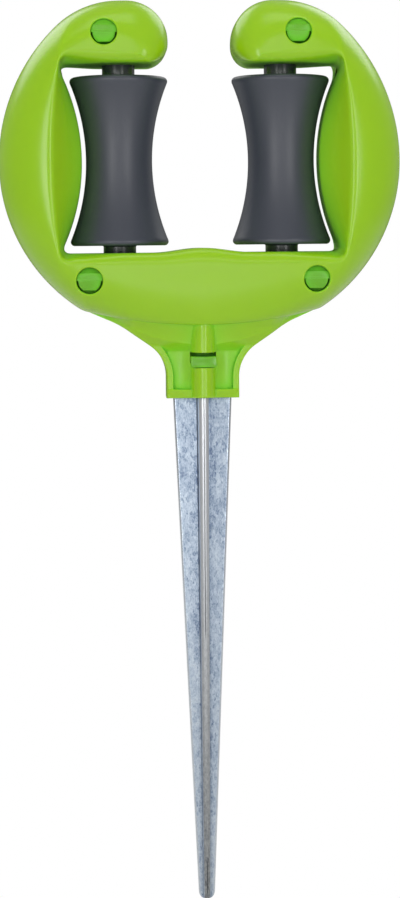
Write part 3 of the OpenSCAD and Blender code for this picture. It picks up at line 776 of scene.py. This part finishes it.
def makeStake():
    tip = stake["tipWidth"] / 2
    tipStart = stakeLow.z + tip
    rows = []
    for k in range(-stake["tangRows"], stake["rows"] + 1):
        share = max(k, 0) / stake["rows"]
        z = mix(0, tipStart, share) if k >= 0 else -stakeHigh.z * k / stake["tangRows"]
        rows.append((z, mix(stake["width"] / 2, tip, share), mix(stake["rib"], stake["ribTip"], share),
                     mix(1, stake["tipShare"], share)))
    for k in range(1, stake["tipRows"] + 1):
        angle = math.radians(stake["tipAngle"] * k / stake["tipRows"])
        inward, share = math.cos(angle), stake["tipShare"]
        rows.append((tipStart - tip * math.sin(angle), tip * inward + share * stake["sheet"] * (1 - inward),
                     stake["ribTip"] * (1 + inward) / 2, share * (1 + inward) / 2))
    loops = []
    for z, wing, rib, share in rows:
        above = z - stakeLow.z
        seam = stake["seamDeep"] * smoothStep(stake["seamStart"], stake["seamFull"], above)
        seam *= smoothStep(stake["seamStop"], stake["seamEnd"], above)
        crease = smoothStep(stake["creaseEnd"], stake["creaseEnd"] + stake["creaseFade"], z)
        right = halfSheet(wing, rib, share, seam + stake["creaseDeep"] * crease)
        left = [(-x, y) for x, y in reversed(right[1:-1])]
        loops.append([(x, y, z) for x, y in right + left])
    piece = skinRows("stakeSheet", loops, capped=True)
    half, low = snap["slotWidth"] / 2, snap["slotLow"] - snap["gap"]
    hole = blockOf((-half, -halfDepth, low), (half, halfDepth, low + snap["slotHeight"] + snap["gap"]))
    carve(piece, hole, "DIFFERENCE")
    shadeSmooth(piece, 34)
    return [(piece, "head", "stake", "galvanised_steel")]


pieces += makeStake()
print("stake ready")


# Shader nodes and groups

def newGroup(name, inputs, outputs):
    group = bpy.data.node_groups.new(name, "ShaderNodeTree")
    for label, value in inputs.items():
        kind = "NodeSocketColor" if isinstance(value, tuple) else "NodeSocketFloat"
        group.interface.new_socket(label, in_out="INPUT", socket_type=kind).default_value = value
    for label, kind in outputs.items():
        group.interface.new_socket(label, in_out="OUTPUT", socket_type="NodeSocket" + kind)
    return group, group.nodes.new("NodeGroupInput").outputs, group.nodes.new("NodeGroupOutput")


# Fills a node's inputs: sockets are linked, anything else is a plain value
def wire(tree, node, values):
    for label, value in values.items():
        if isinstance(value, bpy.types.NodeSocket):
            tree.links.new(value, node.inputs[label])
        else:
            node.inputs[label].default_value = value
    return node


def addNode(tree, kind, values=None, **settings):
    node = tree.nodes.new("ShaderNode" + kind)
    for label, value in settings.items():
        setattr(node, label, value)
    return wire(tree, node, values or {})


def mathNode(tree, operation, a, b=0.0):
    return addNode(tree, "Math", {0: a, 1: b}, operation=operation).outputs[0]


def mapRange(tree, value, start, end, low, high, **settings):
    ends = {"From Min": start, "From Max": end, "To Min": low, "To Max": high}
    return addNode(tree, "MapRange", {"Value": value, **ends}, **settings).outputs["Result"]


def mixColor(tree, factor, a, b):
    return addNode(tree, "Mix", {"Factor": factor, "A": a, "B": b}, data_type="RGBA").outputs["Result"]


def noiseOf(tree, vector, scale, detail, roughness=0.5):
    values = {"Vector": vector, "Scale": scale, "Detail": detail, "Roughness": roughness}
    return addNode(tree, "TexNoise", values).outputs


def bumpOf(tree, height, strength):
    values = {"Height": height, "Strength": strength, "Distance": 0.1 * mm}
    return addNode(tree, "Bump", values).outputs["Normal"]


def ownPlace(tree):
    return addNode(tree, "TexCoord").outputs["Object"]


def newMaterial(name):
    material = bpy.data.materials.new(name)
    material.use_nodes = True
    return material, material.node_tree, material.node_tree.nodes["Principled BSDF"]


def srgb(*values):
    return tuple(((v / 255 + 0.055) / 1.055) ** 2.4 if v > 10 else v / 255 / 12.92 for v in values) + (1,)


# Fine moulded grain, and a broad uneven tone, both from the object's own place
def makeGrainGroup():
    group, given, outside = newGroup(
        "mouldedGrain",
        {"Grain Size": 1200.0, "Tone Size": 25.0, "Base Color": (0.5, 0.5, 0.5, 1),
         "Tone Color": (0.4, 0.4, 0.4, 1), "Roughness Low": 0.3, "Roughness High": 0.4},
        dict(Color="Color", Roughness="Float", Height="Float"))
    place = ownPlace(group)
    grain = noiseOf(group, place, given["Grain Size"], 3)["Fac"]
    tone = noiseOf(group, place, given["Tone Size"], 2)["Fac"]
    wire(group, outside, {
        "Color": mixColor(group, tone, given["Base Color"], given["Tone Color"]),
        "Roughness": mapRange(group, grain, 0.0, 1.0, given["Roughness Low"], given["Roughness High"]),
        "Height": grain})
    return group


# Painted shade and bounced light: places hidden from their surroundings, found by ambient occlusion, take
# the recess colour and the deepest go darker still; they also get a duller surface than open ones
def makeRecessShadeGroup():
    group, given, outside = newGroup(
        "recessTint",
        {"Open Color": (0.5, 0.5, 0.5, 1), "Recess Shade Color": (0.4, 0.4, 0.4, 1), "Reach": 0.015,
         "Deep Shade Share": 0.2, "Open Roughness": 0.3, "Recess Roughness": 0.3},
        dict(Color="Color", Roughness="Float"))
    bare = addNode(group, "AmbientOcclusion", {"Distance": given["Reach"]}, samples=8).outputs["AO"]
    shade = mixColor(group, bare, given["Recess Shade Color"], given["Open Color"])
    deep = mapRange(group, bare, 0.08, 0.45, given["Deep Shade Share"], 1.0)
    dark = addNode(group, "VectorMath", {0: shade, "Scale": deep}, operation="SCALE")
    wire(group, outside, {
        "Color": dark.outputs["Vector"],
        "Roughness": mapRange(group, bare, 0.3, 0.8, given["Recess Roughness"], given["Open Roughness"])})
    return group


grainGroup = makeGrainGroup()
recessGroup = makeRecessShadeGroup()

# Moulded plastics share the grain and the painted recess shade, each with its own values
# In each look, the recess colour and depth set the painted shade in hidden places
plastics = dict(
    lime_plastic=dict(base=srgb(148, 195, 10), tone=srgb(145, 193, 12), recess=(0.27, 0.89, 0.04, 1),
                      # hook: painted shade for the rear shell's hooks, seen down the windows
                      hook=srgb(100, 169, 14), depth=0.55, low=0.22, high=0.27, dull=0.9, grain=1400.0,
                      bump=0.03, specular=0.58, soft=0.4),
    roller_plastic=dict(base=srgb(47, 52, 66), tone=srgb(44, 49, 62), recess=srgb(38, 41, 50), depth=1.0,
                        low=0.41, high=0.47, dull=0.5, grain=1800.0, bump=0.1, specular=1.0, soft=0.0),
    cap_plastic=dict(base=srgb(64, 68, 74), tone=srgb(60, 64, 70), recess=srgb(44, 48, 51), depth=1.0,
                     low=0.13, high=0.18, dull=0.25, grain=1500.0, bump=0.04, specular=1.0, soft=0.0))
softening = dict(radius=(0.8, 1.0, 0.1), scale=4 * mm)  # how far light spreads inside the lime
hookShadeStart, hookShadeFull = -2 * mm, -4 * mm


# Painted shade: the rear shell's hooks, the only lime parts of it before the parting plane, sit down the
# front shell's windows and are painted a little darker
def hookShade(tree, color, look):
    if "hook" not in look:
        return color
    depth = addNode(tree, "SeparateXYZ", {"Vector": ownPlace(tree)}).outputs["Y"]
    return mixColor(tree, mapRange(tree, depth, hookShadeFull, hookShadeStart, 1.0, 0.0), color, look["hook"])


def makePlastic(name, look):
    material, tree, shader = newMaterial(name)
    grain = addNode(tree, "Group", {
        "Grain Size": look["grain"], "Base Color": look["base"], "Tone Color": look["tone"],
        "Roughness Low": look["low"], "Roughness High": look["high"]}, node_tree=grainGroup).outputs
    # Painted shade: the recess colour in hidden places, laid over the hooks' painted shade
    recess = addNode(tree, "Group", {
        "Open Color": hookShade(tree, grain["Color"], look), "Recess Shade Color": look["recess"],
        "Deep Shade Share": look["depth"], "Open Roughness": grain["Roughness"],
        "Recess Roughness": look["dull"]}, node_tree=recessGroup).outputs
    wire(tree, shader, {
        "Base Color": recess["Color"], "Roughness": recess["Roughness"],
        "Normal": bumpOf(tree, grain["Height"], look["bump"]), "Specular IOR Level": look["specular"],
        "Subsurface Weight": look["soft"], "Subsurface Radius": softening["radius"],
        "Subsurface Scale": softening["scale"]})
    return material


# Masks over a tapering blade: its edges, the rib's root and nose, and how far down a point lies
def makeBladeGroup():
    group, given, outside = newGroup(
        "bladeMasks",
        {"Half Width": 0.01, "Tip Share": 0.3, "Length": 0.2, "Band": 0.001, "Root": 0.005, "Nose": 0.001},
        dict(Edge="Float", Root="Float", Nose="Float", Down="Float"))

    def calc(operation, a, b=0.0):
        return mathNode(group, operation, a, b)

    def fadeOut(value, end, start=0.0):
        start = calc("MULTIPLY", end, start)
        return mapRange(group, value, start, end, 1.0, 0.0, interpolation_type="SMOOTHSTEP")

    split = addNode(group, "SeparateXYZ", {"Vector": ownPlace(group)}).outputs
    down = calc("DIVIDE", calc("MULTIPLY", split["Z"], -1), given["Length"])
    taper = calc("SUBTRACT", 1, calc("MULTIPLY", down, calc("SUBTRACT", 1, given["Tip Share"])))
    aside = calc("ABSOLUTE", split["X"])
    fromEdge = calc("SUBTRACT", calc("MULTIPLY", given["Half Width"], taper), aside)
    fromMiddle = calc("DIVIDE", aside, calc("POWER", taper, 0.5))
    wire(group, outside, {
        "Edge": fadeOut(fromEdge, given["Band"]), "Root": fadeOut(fromMiddle, given["Root"], 0.35),
        "Nose": fadeOut(fromMiddle, given["Nose"], 0.8), "Down": down})
    return group


# Hot-dip zinc: fine crystals with duller mottles, a painted highlight along the smoother wing edges, painted
# shade beside the rib's root and in its crevices, the wings lighter towards the tip, and the rib a painted
# highlight, near white at the top, grey and flecked lower down
zinc = dict(bright=srgb(202, 213, 224), mid=srgb(163, 178, 197), dull=srgb(98, 115, 145),
            edge=srgb(226, 230, 234), ribHighlight=srgb(228, 231, 235), ribLow=srgb(182, 184, 183),
            ribDark=srgb(86, 91, 98), creviceShade=srgb(84, 92, 100), brightAt=0.74, midAt=0.56, dullAt=0.41,
            stretch=(1.0, 1.0, 0.5), warp=600.0, warpBy=2 * mm, crystal=1100.0, crystalShare=0.16,
            mottle=2100.0, mottleShare=0.72, patch=150.0, patchShare=0.28, fleck=1100.0, fleckShare=0.22,
            fleckLow=0.36, fleckHigh=0.66, rootShare=-0.08, downShare=0.12, low=0.24, high=0.42,
            edgeRough=0.2, band=1.2, root=6.0, nose=2.3, reach=1.2 * mm, bump=0.12)


def makeZinc(name):
    material, tree, shader = newMaterial(name)
    place = addNode(tree, "Mapping", {"Vector": ownPlace(tree), "Scale": zinc["stretch"]}).outputs["Vector"]
    warp = noiseOf(tree, place, zinc["warp"], 4)["Color"]
    push = (zinc["warpBy"],) * 3
    bent = addNode(tree, "VectorMath", {0: warp, 1: push, 2: place}, operation="MULTIPLY_ADD")
    cells = addNode(tree, "TexVoronoi", {"Vector": bent.outputs["Vector"], "Scale": zinc["crystal"]})
    crystal = addNode(tree, "SeparateColor", {"Color": cells.outputs["Color"]}).outputs[0]
    masks = addNode(tree, "Group", {
        "Half Width": stake["width"] / 2 * mm, "Length": -stakeLow.z * mm, "Band": zinc["band"] * mm,
        "Root": zinc["root"] * mm, "Nose": zinc["nose"] * mm,
        "Tip Share": stake["tipWidth"] / stake["width"]}, node_tree=makeBladeGroup()).outputs
    mottle = noiseOf(tree, place, zinc["mottle"], 6, 0.75)["Fac"]
    patch = noiseOf(tree, place, zinc["patch"], 3)["Fac"]
    fleck = mapRange(tree, noiseOf(tree, place, zinc["fleck"], 6, 0.8)["Fac"],
                     zinc["fleckLow"], zinc["fleckHigh"], 0.0, 1.0)
    lowFleck = mathNode(tree, "MULTIPLY", mathNode(tree, "SUBTRACT", fleck, 0.5), masks["Down"])
    tone = mathNode(tree, "MULTIPLY", crystal, zinc["crystalShare"])
    # Painted shade: the root share darkens the wings beside the rib's root; the down share makes them
    # lighter towards the tip
    for part, label in ((mottle, "mottle"), (patch, "patch"), (lowFleck, "fleck"), (masks["Root"], "root"),
                        (masks["Down"], "down")):
        tone = mathNode(tree, "ADD", tone, mathNode(tree, "MULTIPLY", part, zinc[label + "Share"]))
    ramp = addNode(tree, "ValToRGB", {"Fac": tone})
    stops = ramp.color_ramp.elements
    stops[0].position, stops[0].color = zinc["dullAt"], zinc["dull"]
    stops[1].position, stops[1].color = zinc["brightAt"], zinc["bright"]
    stops.new(zinc["midAt"]).color = zinc["mid"]
    # The rib's nose and side walls: a painted highlight, near white at the top, fading to grey with dark
    # flecks lower down
    rib = mixColor(tree, fleck, zinc["ribDark"], zinc["ribLow"])
    rib = mixColor(tree, masks["Down"], zinc["ribHighlight"], rib)
    # Painted highlight: a near-white band along the wings' edges
    wings = mixColor(tree, masks["Edge"], ramp.outputs["Color"], zinc["edge"])
    # Painted shade in the crevices beside the rib
    recess = addNode(tree, "Group", {
        "Open Color": mixColor(tree, masks["Nose"], wings, rib), "Recess Shade Color": zinc["creviceShade"],
        "Reach": zinc["reach"]}, node_tree=recessGroup)
    rough = mapRange(tree, tone, 0.0, 1.0, zinc["high"], zinc["low"])
    smooth = addNode(tree, "Mix", {"Factor": masks["Edge"], "A": rough, "B": zinc["edgeRough"]})
    wire(tree, shader, {
        "Base Color": recess.outputs["Color"], "Roughness": smooth.outputs["Result"],
        "Normal": bumpOf(tree, tone, zinc["bump"]), "Metallic": 1.0})
    return material


frontLook = {label: value for label, value in plastics["lime_plastic"].items() if label != "hook"}
materials = {name: makePlastic(name, look) for name, look in plastics.items()}
materials["limeFront"] = makePlastic("limeFront", frontLook)
materials["galvanised_steel"] = makeZinc("galvanised_steel")
looks = dict(front_shell="limeFront")
for piece, body, node, slotName in pieces:
    piece.data.materials.clear()
    piece.data.materials.append(materials[looks.get(node, slotName)])
    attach(piece, body)
    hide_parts(node)
print("materials:", len(materials))


# Floor, white surroundings and soft light

studio = dict(floorDrop=0.02, floorSize=2.4, floorColor=(0.6, 0.6, 0.6, 1), floorRough=0.9, fill=0.745,
              front=0.28, rear=0.08, rim=0.35, rearEnd=0.25, rimStart=0.6, frontEnd=-0.1, rearStart=0.4,
              boxDistance=1.5)


# White to the camera; the plastics' and the zinc's reflections see a dimmer room, darkest straight behind
def makeStage():
    half, level = studio["floorSize"] / 2, stakeLow.z * mm - studio["floorDrop"]
    floorMesh = bpy.data.meshes.new("floor")
    corners = [(-half, -half, level), (half, -half, level), (half, half, level), (-half, half, level)]
    floorMesh.from_pydata(corners, [], [(0, 1, 2, 3)])
    floor = bpy.data.objects.new("floor", floorMesh)
    bpy.context.scene.collection.objects.link(floor)
    material, tree, shader = newMaterial("floorWhite")
    wire(tree, shader, {"Base Color": studio["floorColor"], "Roughness": studio["floorRough"]})
    white = addNode(tree, "Emission").outputs["Emission"]
    seen = addNode(tree, "LightPath").outputs["Is Camera Ray"]
    surface = addNode(tree, "MixShader", {0: seen, 1: shader.outputs["BSDF"], 2: white})
    wire(tree, tree.nodes["Material Output"], {"Surface": surface.outputs["Shader"]})
    floorMesh.materials.append(material)
    world = bpy.data.worlds.new("surroundings")
    bpy.context.scene.world = world
    world.use_nodes = True
    tree = world.node_tree
    way = addNode(tree, "SeparateXYZ", {"Vector": addNode(tree, "TexCoord").outputs["Generated"]}).outputs
    aside = mathNode(tree, "MAXIMUM", mathNode(tree, "ABSOLUTE", way["X"]), way["Z"])
    behind = mapRange(tree, aside, studio["rearEnd"], studio["rimStart"], studio["rear"], studio["rim"],
                      interpolation_type="SMOOTHSTEP")
    around = mapRange(tree, way["Y"], studio["frontEnd"], studio["rearStart"], studio["front"], behind,
                      interpolation_type="SMOOTHSTEP")
    path = addNode(tree, "LightPath").outputs
    room = addNode(tree, "Mix", {"Factor": path["Is Glossy Ray"], "A": studio["fill"], "B": around})
    strength = mathNode(tree, "MAXIMUM", room.outputs["Result"], path["Is Camera Ray"])
    wire(tree, tree.nodes["Background"], {"Color": (1, 1, 1, 1), "Strength": strength})


# A soft panel at an azimuth and a height angle, as wide and tall as the angles say
def addSoftbox(name, azimuth, rise, wide, tall, radiance):
    data = bpy.data.lights.new(name, "AREA")
    data.shape = "RECTANGLE"
    distance = studio["boxDistance"]
    data.size, data.size_y = (2 * distance * math.tan(math.radians(angle / 2)) for angle in (wide, tall))
    data.energy = radiance * math.pi * data.size * data.size_y
    lamp = bpy.data.objects.new(name, data)
    bpy.context.scene.collection.objects.link(lamp)
    lamp.visible_camera = False
    a, e = math.radians(azimuth), math.radians(rise)
    way = Vector((math.sin(a) * math.cos(e), -math.cos(a) * math.cos(e), math.sin(e)))
    lamp.location = Vector((0, 0, waistZ * mm)) + way * distance
    lamp.rotation_euler = (-way).to_track_quat("-Z", "Y").to_euler()


# Each panel's azimuth, rise, width and height in degrees, and its radiance
panels = dict(stripLeft=(-27, 0, 11, 26, 4.9), stripRight=(27, 0, 11, 26, 4.9),
              panelAbove=(-3, 13, 22, 9, 1.9), panelBelow=(-3, -9, 22, 11, 1.8),
              panelTop=(0, 70, 40, 30, 1.2), panelRearLeft=(-140, 35, 40, 30, 1.6),
              panelRearRight=(140, 35, 40, 30, 1.6))
makeStage()
for name, values in panels.items():
    addSoftbox(name, *values)
bpy.context.scene.view_settings.view_transform = "Standard"
print("stage and light ready")
